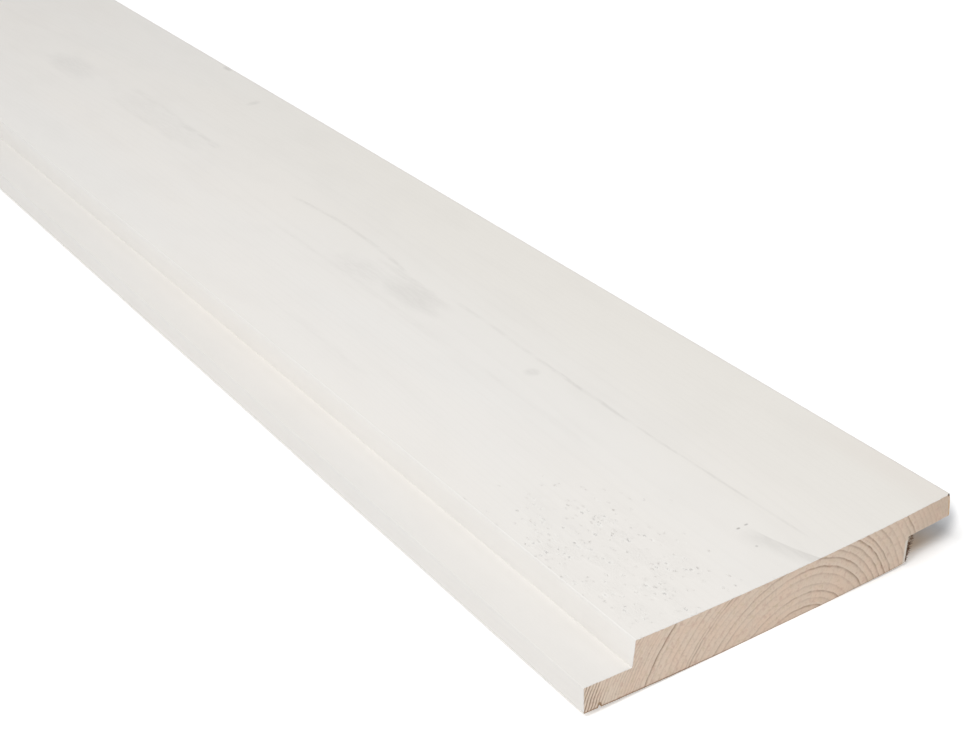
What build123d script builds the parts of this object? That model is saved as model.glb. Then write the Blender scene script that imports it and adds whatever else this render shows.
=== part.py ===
from build123d import *
import os
from math import sqrt

# Rebated cladding board: one length of softwood, planed and moulded, lying on its back
# with its face up. X runs across the board from the back lap (-X) to the front lap (+X),
# Y along its length with the near cut end at -Y, and Z up from the back to the face.
# Lengths are in mm.

# Stock
width = 148.0
thickness = 19.0
length = 2400.0

# The board has cupped toward its face: both long edges stand this much above the middle
cup = 1.8
# The middle of the back bears on the floor over this width. An unbroken arc would go on down
# from its edges by only 0.14 mm.
resting_flat = 40.0

# Back lap, along -X: the face is rebated away and this much of the back is left
back_lap_width = 17.3
back_lap_thickness = 9.5
# The shoulder above the lap leans back by this much between its foot and the face
back_shoulder_lean = 0.9

# Front lap, along +X: the back is rebated away and this much of the face is left
front_lap_width = 18.6
front_lap_thickness = 8.9
front_shoulder_lean = 0.1

# Each lap's outer edge is planed out of square. The front lap's leans the more, so that the
# joint between two boards opens toward the face.
back_tip_lean = 0.4
front_tip_lean = 1.2

# Fine V groove in the back, under the back lap
groove_from_tip = 6.1
groove_width = 1.3
groove_depth = 1.6

# The knives leave the outer arrises just eased
arris_radius = 0.4

half = width / 2
flat = resting_flat / 2
# The arc that leaves the floor at the edges of the flat and has risen by the cup at the tips
cup_radius = sqrt(flat ** 2 + ((half ** 2 - flat ** 2) / cup + cup) ** 2 / 4)


def rise(x):
    """Height of the cupped arc above the floor at x: zero at the edges of the flat, cup at the tips."""
    return sqrt(cup_radius ** 2 - flat ** 2) - sqrt(cup_radius ** 2 - x ** 2)


def at(x, level):
    """A point of the section: level is the height above the back before the board cupped."""
    return (x, level + rise(x))


def across(x0, x1, level):
    """The arc of one face between two places across the board."""
    return ThreePointArc(at(x0, level), at((x0 + x1) / 2, level), at(x1, level))


# Places across the board
back_tip = -half
back_tip_low = back_tip + back_tip_lean
back_foot = back_tip + back_lap_width
back_shoulder = back_foot + back_shoulder_lean
front_tip = half
front_tip_high = front_tip - front_tip_lean
front_root = front_tip - front_lap_width
front_shoulder = front_root - front_shoulder_lean
front_seat = thickness - front_lap_thickness
groove = back_tip + groove_from_tip
groove_start = groove - groove_width / 2
groove_end = groove + groove_width / 2

with BuildPart() as board:
    with BuildSketch(Plane.XZ.offset(-length / 2)) as section:
        with BuildLine():
            across(back_tip_low, groove_start, 0)
            Polyline(at(groove_start, 0), at(groove, groove_depth), at(groove_end, 0))
            across(groove_end, -flat, 0)
            Line(at(-flat, 0), at(flat, 0))
            across(flat, front_shoulder, 0)
            Polyline(
                at(front_shoulder, 0),
                at(front_root, front_seat),
                at(front_tip, front_seat),
                at(front_tip_high, thickness),
            )
            across(front_tip_high, back_shoulder, thickness)
            Polyline(
                at(back_shoulder, thickness),
                at(back_foot, back_lap_thickness),
                at(back_tip, back_lap_thickness),
                at(back_tip_low, 0),
            )
        make_face()
        # Outer arrises only: the corners inside the rebates and the groove stay sharp
        eased = [
            at(back_tip_low, 0),
            at(front_shoulder, 0),
            at(front_tip, front_seat),
            at(front_tip_high, thickness),
            at(back_shoulder, thickness),
            at(back_tip, back_lap_thickness),
        ]
        corners = [section.vertices().sort_by_distance((x, z, 0))[0] for x, z in eased]
        fillet(corners, radius=arris_radius)
    extrude(amount=length)

os.makedirs("parts", exist_ok=True)
board.part.label = "cladding_board"
export_step(board.part, "parts/cladding_board.step")
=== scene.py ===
from math import radians

import bpy
import numpy as np
from mathutils import Euler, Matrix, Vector


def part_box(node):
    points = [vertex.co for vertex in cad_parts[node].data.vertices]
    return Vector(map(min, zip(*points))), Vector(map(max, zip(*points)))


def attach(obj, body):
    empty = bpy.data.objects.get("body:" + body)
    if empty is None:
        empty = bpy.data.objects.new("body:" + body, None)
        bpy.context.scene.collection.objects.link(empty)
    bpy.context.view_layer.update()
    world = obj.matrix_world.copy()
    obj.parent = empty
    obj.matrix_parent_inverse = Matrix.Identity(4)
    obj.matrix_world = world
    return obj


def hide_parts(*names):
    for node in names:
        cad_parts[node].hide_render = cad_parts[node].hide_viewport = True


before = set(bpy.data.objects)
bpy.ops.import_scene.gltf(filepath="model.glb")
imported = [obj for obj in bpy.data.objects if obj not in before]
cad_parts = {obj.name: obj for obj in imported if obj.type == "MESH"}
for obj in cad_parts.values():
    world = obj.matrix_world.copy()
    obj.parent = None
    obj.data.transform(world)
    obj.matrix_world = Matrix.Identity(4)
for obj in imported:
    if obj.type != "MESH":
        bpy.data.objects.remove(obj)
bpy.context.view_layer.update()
node_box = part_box("cladding_board")

bl_info = {
    "name": "Rebated cladding board",
    "version": (1, 0, 0),
    "blender": (4, 5, 0),
    "location": "View3D > Sidebar > Cladding",
    "description": "Builds a primed, rebated cladding board with its sawn ends, grain and a plain studio",
    "category": "Object",
}

MM = 0.001
NODE = "cladding_board"

NEAR_END_Y = float(node_box[0][1])
BOARD_LENGTH = float(node_box[1][1] - node_box[0][1])


def srgb(red, green, blue):
    """A linear colour from 0 to 255 display values, by the usual power curve with its straight foot."""
    v = np.array([red, green, blue]) / 255
    linear = np.where(v <= 0.04045, v / 12.92, ((v + 0.055) / 1.055) ** 2.4)
    return tuple(float(x) for x in linear)


def tinted(colour, *shares):
    """A colour whose red, green and blue are times three shares, or all three times a single one."""
    return [c * f for c, f in zip(colour, shares if len(shares) == 3 else shares * 3)]


# Floor's half width, and the soft lamp: its place and the spot it is aimed at, from the middle of the near
# end, and its two sides (m)
FLOOR_REACH = 9.0
LAMP_PLACE = (-0.69, -0.06, 1.2)
LAMP_AIM = (0.0, 0.12, 0.0)
LAMP_SIZE = (0.6, 0.6)

# Half the board's width in mm, for the shader graphs
HALF_WIDTH = 74.0

# Pith of the tree the board was cut from: its place under the middle of the board at the near end, and
# how much wider than a circle the rings are to its left and right
PITH = (8.3, -19.25)
RING_STRETCH = (1.025, 0.91)

# Growth rings round the pith: radius in mm, and how dark each is to the pith's left and to its right
RINGS = (
    (12.0, 0.30, 0.30),
    (17.0, 0.40, 0.40),
    (22.2, 0.45, 0.90),
    (24.7, 0.10, 0.20),
    (27.1, 0.40, 0.62),
    (29.7, 0.12, 0.22),
    (33.1, 0.15, 0.28),
    (35.7, 0.36, 0.80),
    (38.6, 0.46, 0.75),
    (41.1, 0.12, 0.45),
    (43.5, 0.16, 0.72),
    (45.8, 0.24, 1.00),
    (47.1, 0.58, 0.05),
    (48.3, 0.34, 0.68),
    (50.4, 0.12, 0.12),
    (52.7, 0.28, 0.42),
    (55.2, 0.22, 0.28),
    (57.8, 0.12, 0.14),
    (60.5, 0.20, 0.30),
    (62.4, 1.00, 0.66),
    (64.4, 0.24, 0.08),
    (66.6, 0.00, 0.12),
    (68.3, 0.00, 0.06),
    (70.3, 0.00, 0.12),
    (72.0, 0.00, 0.08),
)
# Past this radius the rings on the back lap's side are narrow and even
NARROW_FROM = 64.4
NARROW_RING_WIDTH = 1.12
# No part of the board is as far from the pith as this
OUTER_RADIUS = 90.0

# Grain lines that show faintly through the primer: x and distance from the near end where each starts
# and ends, its bow between them, half width (mm) and strength
GRAIN_LINES = (
    (20.8, 8.0, 18.8, 96.0, -0.3, 0.45, 0.13),
    (19.0, 92.0, 19.4, 154.0, -0.2, 0.70, 0.15),
    (19.4, 150.0, 20.4, 212.0, 0.4, 0.80, 0.07),
    (17.6, 232.0, 18.0, 338.0, 4.2, 0.80, 0.11),
    (-2.2, 84.0, -1.8, 166.0, 0.3, 1.00, 0.03),
    (17.2, 404.0, 17.0, 450.0, 0.3, 1.60, 0.10),
    (17.0, 440.0, 18.6, 512.0, 1.2, 1.60, 0.05),
    (5.4, 420.0, 5.0, 506.0, -0.8, 1.60, 0.05),
    (-40.0, 168.0, -38.0, 260.0, 0.6, 1.50, 0.025),
    (-3.0, 176.0, -2.0, 315.0, 0.6, 1.20, 0.04),
    (24.0, 690.0, 17.0, 1080.0, 3.0, 1.10, 0.09),
    (-11.0, 860.0, -14.0, 1320.0, -3.0, 1.20, 0.07),
    (9.0, 1500.0, 20.0, 1890.0, 4.0, 1.10, 0.08),
    (-2.0, 1620.0, -14.0, 2240.0, -4.0, 1.20, 0.07),
)

# Pointed arches where a ring comes to the face: x and distance of the tip, the way it opens
# (1 away from the near end, -1 towards it), its reach, its half width there, line half width, strength
ARCHES = (
    (6.0, 905.0, -1.0, 190.0, 12.0, 2.0, 0.08),
    (9.0, 1270.0, 1.0, 240.0, 13.0, 2.0, 0.08),
    (2.0, 2050.0, -1.0, 260.0, 14.0, 2.0, 0.08),
)

# Grey smudges and knots under the primer: x, distance from the near end, half width and half length
# (mm), strength, and how broken up each is
FACE_MARKS = (
    (6.2, 26.0, 0.8, 0.5, 0.50, 0.0),
    (9.6, 26.2, 1.0, 0.5, 0.45, 0.0),
    (4.4, 15.7, 0.6, 0.6, 0.30, 0.0),
    (11.7, 143.3, 3.2, 3.6, 0.12, 0.4),
    (9.2, 220.0, 9.2, 22.0, 0.11, 0.4),
    (5.5, 252.0, 8.5, 20.0, 0.07, 0.8),
    (16.0, 232.0, 2.4, 28.0, 0.09, 0.7),
    (11.5, 456.0, 8.0, 66.0, 0.05, 0.8),
    (7.0, 560.0, 11.0, 28.0, 0.08, 0.5),
    (58.5, 448.5, 4.4, 3.2, 0.15, 0.7),
    (71.0, 502.0, 1.8, 5.0, 0.22, 0.5),
    (-24.0, 1010.0, 7.5, 10.0, 0.15, 0.6),
    (33.0, 1490.0, 5.5, 8.0, 0.16, 0.6),
    (-8.0, 1985.0, 9.0, 13.0, 0.15, 0.6),
)

# Where the grain dives at the near end there is grey up to the line x = first + second y + third y^2,
# with y the distance from the near end (mm)
DIVE_LINE = (16.3, -0.42, 0.0062)

# Torn pits lie round this place on the face: x, distance from the near end, half width, half length (mm)
PITTED_ZONE = (-37.0, 36.0, 27.0, 46.0)

# Marks that the face alone carries come in between these two heights, and between these two places
# past the back shoulder (mm)
FACE_ABOVE = (14.0, 16.0)
FACE_PAST = (-55.9, -54.9)

# Corners of the section where the coat carries painted shade: x, z, how far that reaches (mm) and its
# strength.
# The painted shade keeps the foot of the back rebate from glowing with bounced light, and dims the highlights
# on the two arrises beside it.
PAINTED_SHADE_CORNERS = (
    (-59.0, 10.3, 4.0, 0.08),
    (-55.8, 20.0, 1.1, 0.15),
    (-74.0, 11.3, 1.1, 0.14),
)

# Knots in the bare back: x, distance from the near end, half width, half length (mm), strength
BACK_KNOTS = (
    (14.0, 548.0, 4.5, 7.0, 0.85),
    (-19.0, 1008.0, 6.5, 9.5, 0.95),
    (29.0, 1494.0, 5.0, 8.0, 0.90),
    (-6.0, 1982.0, 7.0, 11.0, 0.95),
    (22.0, 2262.0, 3.0, 4.0, 0.80),
)


# Sizes and colours that a user would change


class CladdingSection(bpy.types.PropertyGroup):
    """Sizes of the moulded section"""

    length: bpy.props.FloatProperty(
        name="Length",
        description="Length between the sawn ends",
        default=BOARD_LENGTH,
        unit="LENGTH",
    )
    width: bpy.props.FloatProperty(name="Width", description="Overall width", default=0.148, unit="LENGTH")
    thickness: bpy.props.FloatProperty(
        name="Thickness", description="Thickness between back and face", default=0.019, unit="LENGTH"
    )
    cup: bpy.props.FloatProperty(
        name="Cup", description="Height of the long edges above the middle", default=0.0018, unit="LENGTH"
    )
    resting_flat: bpy.props.FloatProperty(
        name="Resting flat",
        description="Width of the back that bears on the floor",
        default=0.04,
        unit="LENGTH",
    )
    front_lap_lift: bpy.props.FloatProperty(
        name="Front lap lift",
        description="How much more the front lap has curled up",
        default=0.0003,
        unit="LENGTH",
    )
    back_lap_width: bpy.props.FloatProperty(
        name="Back lap width", description="Width of the seat at its shoulder", default=0.0173, unit="LENGTH"
    )
    back_lap_thickness: bpy.props.FloatProperty(
        name="Back lap thickness",
        description="What the rebate in the face leaves",
        default=0.0095,
        unit="LENGTH",
    )
    back_shoulder_lean: bpy.props.FloatProperty(
        name="Back shoulder lean",
        description="How far the shoulder leans back",
        default=0.0009,
        unit="LENGTH",
    )
    front_lap_width: bpy.props.FloatProperty(
        name="Front lap width", description="Width of the lap beyond its root", default=0.0186, unit="LENGTH"
    )
    front_lap_thickness: bpy.props.FloatProperty(
        name="Front lap thickness",
        description="What the rebate in the back leaves",
        default=0.0089,
        unit="LENGTH",
    )
    front_shoulder_lean: bpy.props.FloatProperty(
        name="Front shoulder lean", description="How far the shoulder leans in", default=0.0001, unit="LENGTH"
    )
    back_tip_lean: bpy.props.FloatProperty(
        name="Back tip lean", description="How far out of square that edge is", default=0.0004, unit="LENGTH"
    )
    front_tip_lean: bpy.props.FloatProperty(
        name="Front tip lean", description="How far out of square that edge is", default=0.0012, unit="LENGTH"
    )
    groove_from_tip: bpy.props.FloatProperty(
        name="Groove from tip",
        description="Distance of the V groove from the tip",
        default=0.0061,
        unit="LENGTH",
    )
    groove_width: bpy.props.FloatProperty(
        name="Groove width", description="Width of the V groove", default=0.0013, unit="LENGTH"
    )
    groove_depth: bpy.props.FloatProperty(
        name="Groove depth", description="Depth of the V groove", default=0.0016, unit="LENGTH"
    )
    arris_radius: bpy.props.FloatProperty(
        name="Arris radius", description="Radius of the eased long arrises", default=0.0004, unit="LENGTH"
    )
    saw_relief: bpy.props.FloatProperty(
        name="Saw relief", description="How uneven the sawn end is", default=0.00009, unit="LENGTH"
    )


class CladdingFinish(bpy.types.PropertyGroup):
    """Colours of the primer and the wood"""

    primer: bpy.props.FloatVectorProperty(
        name="Primer",
        description="Off-white primer",
        subtype="COLOR",
        size=3,
        min=0,
        max=1,
        default=srgb(237, 234, 230),
    )
    primer_shade: bpy.props.FloatVectorProperty(
        name="Primer over dark grain",
        description="Primer where a knot or a dark ring shows through",
        subtype="COLOR",
        size=3,
        min=0,
        max=1,
        default=srgb(176, 170, 164),
    )
    earlywood: bpy.props.FloatVectorProperty(
        name="Earlywood on the end",
        description="Pale wood of the sawn end",
        subtype="COLOR",
        size=3,
        min=0,
        max=1,
        default=srgb(238, 217, 198),
    )
    latewood: bpy.props.FloatVectorProperty(
        name="Latewood on the end",
        description="Dark line of each ring",
        subtype="COLOR",
        size=3,
        min=0,
        max=1,
        default=srgb(136, 104, 80),
    )
    back_earlywood: bpy.props.FloatVectorProperty(
        name="Earlywood on the back",
        description="Pale planed wood",
        subtype="COLOR",
        size=3,
        min=0,
        max=1,
        default=srgb(222, 199, 164),
    )
    back_latewood: bpy.props.FloatVectorProperty(
        name="Latewood on the back",
        description="Dark planed grain",
        subtype="COLOR",
        size=3,
        min=0,
        max=1,
        default=srgb(190, 150, 104),
    )
    knot: bpy.props.FloatVectorProperty(
        name="Knot",
        description="Heart of a bare knot",
        subtype="COLOR",
        size=3,
        min=0,
        max=1,
        default=srgb(116, 74, 46),
    )


class CladdingStage(bpy.types.PropertyGroup):
    """Camera, floor and lights"""

    camera_turn: bpy.props.FloatProperty(
        name="Camera turn",
        description="Heading of the camera, from the board's length",
        default=radians(34.652),
        subtype="ANGLE",
    )
    camera_tilt: bpy.props.FloatProperty(
        name="Camera tilt",
        description="How far the camera looks down",
        default=radians(29.03),
        subtype="ANGLE",
    )
    camera_from_end: bpy.props.FloatVectorProperty(
        name="Camera place",
        description="Camera from the middle of the near end, at floor height",
        subtype="TRANSLATION",
        size=3,
        default=(-0.30117, -0.28307, 0.31394),
    )
    lens: bpy.props.FloatProperty(
        name="Lens", description="Focal length on a 36 mm frame, in mm", default=61.32
    )
    sky: bpy.props.FloatProperty(name="Sky level", description="Even light from all round", default=0.54)
    key: bpy.props.FloatProperty(
        name="Key level", description="Power of the large soft lamp", default=10.35, subtype="POWER"
    )


# Section: two patches that share a line through the thickness

# A point lies on a side of a corner when it is no farther from it than this (m)
ON_SIDE = 3e-6


def rise(x, s):
    """Height of the cupped arc above the floor at x: a circle that passes the edges of the resting flat
    at the floor and has risen by the cup at the tips, and past the body's middle the front lap's curl."""
    half, flat = s.width / 2, s.resting_flat / 2
    radius = np.sqrt(flat**2 + ((half**2 - flat**2) / s.cup + s.cup) ** 2 / 4)
    curl = np.clip((x - half / 2) / (half / 2), 0, None) ** 2
    return np.sqrt(radius**2 - flat**2) - np.sqrt(radius**2 - x**2) + s.front_lap_lift * curl


def steps(total, count, ease):
    """Fractions from 0 to 1 in even steps, with three short steps inside the eased arris at each end."""
    lead = ease * np.arange(3) / 3
    return np.concatenate([lead, np.linspace(ease, total - ease, count), total - lead[::-1]]) / total


def between(start, end, fractions):
    """Points on the straight line from start to end."""
    return np.outer(1 - fractions, start) + np.outer(fractions, end)


def ease_corner(points, corner, one_way, other_way, radius):
    """Moves the points near a corner on to a circle that touches both of its sides. A point's share of
    the tangent length gives its share of the turn from the corner's bisector."""
    corner = np.asarray(corner)
    sides = [np.asarray(p) - corner for p in (one_way, other_way)]
    sides = [d / np.linalg.norm(d) for d in sides]
    half = 0.5 * np.arccos(sides[0] @ sides[1])
    tangent = radius / np.tan(half)
    bisector = (sides[0] + sides[1]) / np.linalg.norm(sides[0] + sides[1])
    centre = corner + bisector * radius / np.sin(half)
    offset = points - corner
    out = points.copy()
    for side in sides:
        along = offset @ side
        away = np.abs(offset[:, 0] * side[1] - offset[:, 1] * side[0])
        near = (away < ON_SIDE) & (along > -1e-9) & (along < tangent)
        turn = ((np.pi / 2 - half) * along / tangent)[:, None]
        to_side = corner + side * tangent - centre
        to_side = to_side / np.linalg.norm(to_side)
        across = to_side + (to_side @ bisector) * -bisector
        across = across / np.linalg.norm(across)
        arc = centre + radius * (np.cos(turn) * -bisector + np.sin(turn) * across)
        out = np.where(near[:, None], arc, out)
    return out


def patch(bottom, top, left, right):
    """A four-sided patch: each point is the blend of the two lines across it and the two lines up
    it, less the blend of the corners. Shape (columns, rows, 2)."""

    def share(a, b):
        steps_along = [np.linalg.norm(np.diff(line, axis=0), axis=1) for line in (a, b)]
        lengths = [np.concatenate([[0], np.cumsum(step)]) for step in steps_along]
        return (lengths[0] / lengths[0][-1] + lengths[1] / lengths[1][-1]) / 2

    u = share(bottom, top)[:, None, None]
    v = share(left, right)[None, :, None]
    lines = (1 - v) * bottom[:, None] + v * top[:, None] + (1 - u) * left[None] + u * right[None]
    low_corners = (1 - u) * (1 - v) * bottom[0] + u * (1 - v) * bottom[-1]
    return lines - (low_corners + (1 - u) * v * top[0] + u * v * top[-1])


def section_lines(s):
    """The eight lines that bound the section's two patches: level ones follow the cupped arc, and the
    rest are straight between two of its corners. Each is bottom, top, left and right of the lower patch
    and then of the upper one. Also returns how many points the back lap and the body take."""
    half = s.width / 2
    tip_low = -half + s.back_tip_lean
    foot = -half + s.back_lap_width
    shoulder = foot + s.back_shoulder_lean
    root = half - s.front_lap_width
    front_low = root - s.front_shoulder_lean
    tip_high = half - s.front_tip_lean
    seat = s.thickness - s.front_lap_thickness
    groove = -half + s.groove_from_tip
    ease = 1.2 * s.arris_radius

    def at(x, level):
        return np.array([x, level + rise(x, s)])

    def level_line(x, level):
        return np.stack([x, level + rise(x, s)], axis=1)

    # Columns: the back lap with its groove, the body, the front lap
    near_groove = s.groove_width / 2 * np.array([-1.5, -1, -0.5, 0, 0.5, 1, 1.5]) + groove
    lap_x = np.concatenate(
        [
            tip_low + ease * np.arange(3) / 3,
            np.linspace(tip_low + ease, near_groove[0], 5, endpoint=False),
            near_groove,
            np.linspace(near_groove[-1], foot, 15)[1:],
        ]
    )
    lap_share = (lap_x - tip_low) / (foot - tip_low)
    body_share = steps(root - foot, 118, ease)
    front_share = steps(s.front_lap_width, 18, ease)
    rows_low = steps(s.back_lap_thickness, 9, ease)
    rows_high = steps(s.thickness - s.back_lap_thickness, 9, ease)

    back_x = np.concatenate([lap_x, foot + (front_low - foot) * body_share[1:]])
    back = level_line(back_x, 0)
    back[:, 1] = np.where(np.abs(back_x) < s.resting_flat / 2, 0, back[:, 1])
    back[:, 1] += s.groove_depth * np.clip(1 - np.abs(back_x - groove) / (s.groove_width / 2), 0, 1)
    lap_top = between(at(-half, s.back_lap_thickness), at(foot, s.back_lap_thickness), lap_share)
    middle = between(at(foot, s.back_lap_thickness), at(root, seat), body_share)
    lap_edge = between(at(tip_low, 0), at(-half, s.back_lap_thickness), rows_low)
    front_shoulder = between(at(front_low, 0), at(root, seat), rows_low)

    front_seat = between(at(root, seat), at(half, seat), front_share)
    body_x = shoulder + (root - shoulder) * body_share
    face_x = np.concatenate([body_x, root + (tip_high - root) * front_share[1:]])
    face = level_line(face_x, s.thickness)
    back_shoulder = between(at(foot, s.back_lap_thickness), at(shoulder, s.thickness), rows_high)
    front_edge = between(at(half, seat), at(tip_high, s.thickness), rows_high)

    r = s.arris_radius
    step = 2 * MM
    eased = (
        (at(tip_low, 0), at(tip_low + step, 0), at(-half, s.back_lap_thickness)),
        (at(-half, s.back_lap_thickness), at(tip_low, 0), at(foot, s.back_lap_thickness)),
        (at(front_low, 0), at(front_low - step, 0), at(root, seat)),
        (at(shoulder, s.thickness), at(foot, s.back_lap_thickness), at(shoulder + step, s.thickness)),
        (at(half, seat), at(root, seat), at(tip_high, s.thickness)),
        (at(tip_high, s.thickness), at(half, seat), at(tip_high - step, s.thickness)),
    )
    lines = [back, np.concatenate([lap_top, middle[1:]]), lap_edge, front_shoulder]
    lines += [np.concatenate([middle, front_seat[1:]]), face, back_shoulder, front_edge]
    for corner, one_way, other_way in eased:
        lines = [ease_corner(line, corner, one_way, other_way, r) for line in lines]
    return lines, len(lap_x), len(body_share)


def section_mesh(s):
    """The section as quads: a lower patch from the back lap's tip to the front shoulder, and an upper
    one from the back shoulder to the front lap's tip. Returns points (x, z), quads, the outline's point
    numbers anticlockwise seen from the near end, and the finish of each outline side."""
    lines, laps, body = section_lines(s)
    lower = patch(*lines[:4])
    upper = patch(*lines[4:])
    grids = (lower, upper)
    flat = np.concatenate([g.reshape(-1, 2) for g in grids])
    _, first, number = np.unique(np.round(flat, 8), axis=0, return_index=True, return_inverse=True)
    points = flat[first]
    number = number.ravel()
    low = number[: lower.shape[0] * lower.shape[1]].reshape(lower.shape[:2])
    high = number[low.size :].reshape(upper.shape[:2])
    quads = [
        np.stack([n[:-1, :-1], n[1:, :-1], n[1:, 1:], n[:-1, 1:]], axis=-1).reshape(-1, 4)
        for n in (low, high)
    ]
    sides = (
        (low[:, 0], "foot"),
        (low[-1, :], "bare"),
        (high[body - 1 :, 0], "bare"),
        (high[-1, :], "primed"),
        (high[::-1, -1], "primed"),
        (high[0, ::-1], "primed"),
        (low[laps - 1 :: -1, -1], "primed"),
        (low[0, ::-1], "primed"),
    )
    outline = np.concatenate([side[:-1] for side, _ in sides])
    finish = np.concatenate([np.full(len(side) - 1, kind) for side, kind in sides])
    return points, np.concatenate(quads), outline, finish


def gap_to(points, starts, ends):
    """Shortest distance from each point to a set of straight pieces: the foot of the perpendicular is
    held between the ends of each piece, and the least distance is kept."""
    piece = ends - starts
    t = np.einsum("pse,se->ps", points[:, None] - starts[None], piece) / np.maximum((piece**2).sum(1), 1e-18)
    foot = starts[None] + np.clip(t, 0, 1)[..., None] * piece[None]
    return np.sqrt(((points[:, None] - foot) ** 2).sum(-1)).min(1)


def wander(x, z, seed):
    """A smooth uneven height from -1 to 1: the mean of five waves of unlike lengths and headings."""
    rng = np.random.default_rng(seed)
    turn = rng.uniform(0, 2 * np.pi, 5)
    wave = rng.uniform(1.2, 7.0, 5)
    start = rng.uniform(0, 2 * np.pi, 5)
    x, z = np.asarray(x)[..., None] / MM, np.asarray(z)[..., None] / MM
    return np.sin((x * np.cos(turn) + z * np.sin(turn)) * 2 * np.pi / wave + start).mean(-1)


def board_mesh(s):
    """The whole board: the section at both ends, and its outline carried along the length through
    stations that lie close together near the ends. The sawn ends are uneven by a few hundredths of a
    millimetre, and their arrises are frayed back by up to a few tenths."""
    points, quads, outline, finish = section_mesh(s)
    starts, ends = points[outline], points[np.roll(outline, -1)]
    edge_gap = gap_to(points, starts, ends)
    primed = finish == "primed"
    coat_gap = gap_to(points, starts[primed], ends[primed])
    on_foot = finish == "foot"
    foot_gap = gap_to(points, starts[on_foot], ends[on_foot])
    corner = np.array([s.width / 2 - s.front_tip_lean, s.thickness + rise(s.width / 2, s)])
    chip = np.clip(1 - np.linalg.norm((points - corner) / (1.0 * MM, 1.3 * MM), axis=1), 0, 1)

    close = np.array([0.0, 0.12, 0.3, 0.6, 1.0, 1.6, 2.6, 4.0, 6.0, 9.0, 13.0, 18.0, 24.0, 31.0, 40.0]) * MM
    even = np.linspace(close[-1], s.length - close[-1], 110)[1:-1]
    stations = np.concatenate([close, even, s.length - close[::-1]])
    count, around = len(points), len(outline)
    frayed, fray_depth, chip_depth, least_step = np.array([0.15, 0.07, 0.5, 0.04]) * MM

    def cut_end(end, way, seed):
        """A sawn end: uneven within its face, with its outermost strip frayed back."""
        uneven = s.saw_relief * 0.5 * (1 + wander(points[:, 0], points[:, 1], seed))
        fray = np.clip(1 - edge_gap / frayed, 0, 1)
        torn = fray_depth * (1 + wander(points[:, 0], points[:, 1] * 3, seed + 1))
        y = end + way * (uneven * (1 - fray) + torn * fray)
        return np.stack([points[:, 0], y, points[:, 1]], axis=1)

    x, z = starts[:, 0], starts[:, 1]
    inner = stations[1:-1]
    rings = np.empty((len(inner), around, 3))
    rings[..., 0] = x
    rings[..., 1] = (inner - s.length / 2)[:, None]
    rings[..., 2] = z
    # The stations nearest the ends follow the frayed arris, so that they never pass it
    near = cut_end(-s.length / 2, 1, 11)
    near[:, 1] += chip_depth * chip
    far = cut_end(s.length / 2, -1, 23)
    rings[..., 1] = np.maximum(rings[..., 1], near[outline, 1] + least_step)
    rings[..., 1] = np.minimum(rings[..., 1], far[outline, 1] - least_step)
    rings[1:, :, 1] = np.maximum(rings[1:, :, 1], rings[0, :, 1] + least_step)

    vertices = np.concatenate([near, rings.reshape(-1, 3), far])
    number = np.empty((len(stations), around), dtype=int)
    number[0] = outline
    number[1:-1] = count + np.arange(len(inner) * around).reshape(len(inner), around)
    number[-1] = count + len(inner) * around + outline
    beside = np.roll(number, -1, axis=1)
    walls = np.stack([number[:-1], number[1:], beside[1:], beside[:-1]], axis=-1).reshape(-1, 4)
    faces = np.concatenate([quads, walls, quads[:, ::-1] + count + len(inner) * around])

    wall_finish = np.tile(np.where(primed, 0, 1), len(stations) - 1)
    ends_finish = np.full(len(quads), 2)
    finishes = np.concatenate([ends_finish, wall_finish, ends_finish])
    zero = np.zeros(len(inner) * around)
    gaps = {
        "edge_gap": np.concatenate([edge_gap, zero, edge_gap]) / MM,
        "coat_gap": np.concatenate([coat_gap, zero, coat_gap]) / MM,
        "foot_gap": np.concatenate([foot_gap, zero, foot_gap]) / MM,
        "chip": np.concatenate([chip, zero, 0 * chip]),
    }
    return vertices, faces, finishes, gaps


def new_piece(name, vertices, faces, materials, finishes=None, attributes=None, crisp_from=None):
    """A smooth mesh object riding on the board's body. Edges that turn by more than crisp_from degrees
    stay sharp."""
    mesh = bpy.data.meshes.new(name)
    mesh.from_pydata(vertices.tolist(), [], faces)
    for material in materials:
        mesh.materials.append(material)
    if finishes is not None:
        mesh.polygons.foreach_set("material_index", finishes.astype(np.int32))
    for key, values in (attributes or {}).items():
        mesh.attributes.new(key, "FLOAT", "POINT").data.foreach_set("value", values.astype(np.float32))
    mesh.shade_smooth()
    if crisp_from is not None:
        mesh.set_sharp_from_angle(angle=radians(crisp_from))
    mesh.update()
    piece = bpy.data.objects.new(name, mesh)
    bpy.context.scene.collection.objects.link(piece)
    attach(piece, "root")
    return piece


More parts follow.
